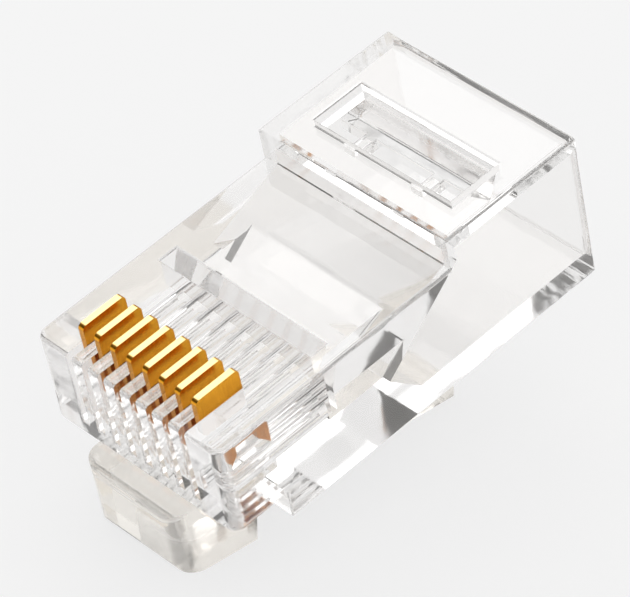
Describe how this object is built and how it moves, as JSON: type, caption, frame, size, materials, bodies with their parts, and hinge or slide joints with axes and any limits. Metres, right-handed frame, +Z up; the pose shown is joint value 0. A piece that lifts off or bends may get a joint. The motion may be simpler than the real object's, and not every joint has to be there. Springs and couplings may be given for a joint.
{
  "type": "rj45 modular plug",
  "caption": "Clear moulded modular plug, uncrimped: gold-plated contact blades in a row of slots, stepped cable end with a clamp window, and a sprung latch it lies on.",
  "frame": {"origin": "middle of the plug's length and width, on the surface that the latch lies on", "axes": "+Z up; +X across the row of contacts; +Y horizontal, from the nose towards the cable end. The plug lies on the flat underside of its latch, so its body rises towards the cable end by the latch's angle."},
  "size_m": [0.0116, 0.0224, 0.0148],
  "materials": {
    "clear_polycarbonate": "polished moulding",
    "gold_plate": "gold plated"
  },
  "bodies": {
    "plug_body": {"housing": "clear_polycarbonate"},
    "latch": {"latch": "clear_polycarbonate"},
    "contact_1": {"contact_1": "gold_plate"},
    "contact_2": {"contact_2": "gold_plate"},
    "contact_3": {"contact_3": "gold_plate"},
    "contact_4": {"contact_4": "gold_plate"},
    "contact_5": {"contact_5": "gold_plate"},
    "contact_6": {"contact_6": "gold_plate"},
    "contact_7": {"contact_7": "gold_plate"},
    "contact_8": {"contact_8": "gold_plate"}
  },
  "joints": [
    {"name": "latch_press", "type": "hinge", "parent": "plug_body", "child": "latch", "pos_m": [0, -0.00717, 0.00395], "axis": [1, 0, 0], "range_deg": [0, 15], "stiffness_Nm_per_rad": 0.14},
    {"name": "contact_1_press", "type": "slide", "parent": "plug_body", "child": "contact_1", "axis": [0, 0.2113, -0.9774], "range_m": [0, 0.00129]},
    {"name": "contact_2_press", "type": "slide", "parent": "plug_body", "child": "contact_2", "axis": [0, 0.2113, -0.9774], "range_m": [0, 0.00129]},
    {"name": "contact_3_press", "type": "slide", "parent": "plug_body", "child": "contact_3", "axis": [0, 0.2113, -0.9774], "range_m": [0, 0.00129]},
    {"name": "contact_4_press", "type": "slide", "parent": "plug_body", "child": "contact_4", "axis": [0, 0.2113, -0.9774], "range_m": [0, 0.00129]},
    {"name": "contact_5_press", "type": "slide", "parent": "plug_body", "child": "contact_5", "axis": [0, 0.2113, -0.9774], "range_m": [0, 0.00129]},
    {"name": "contact_6_press", "type": "slide", "parent": "plug_body", "child": "contact_6", "axis": [0, 0.2113, -0.9774], "range_m": [0, 0.00129]},
    {"name": "contact_7_press", "type": "slide", "parent": "plug_body", "child": "contact_7", "axis": [0, 0.2113, -0.9774], "range_m": [0, 0.00129]},
    {"name": "contact_8_press", "type": "slide", "parent": "plug_body", "child": "contact_8", "axis": [0, 0.2113, -0.9774], "range_m": [0, 0.00129]}
  ]
}
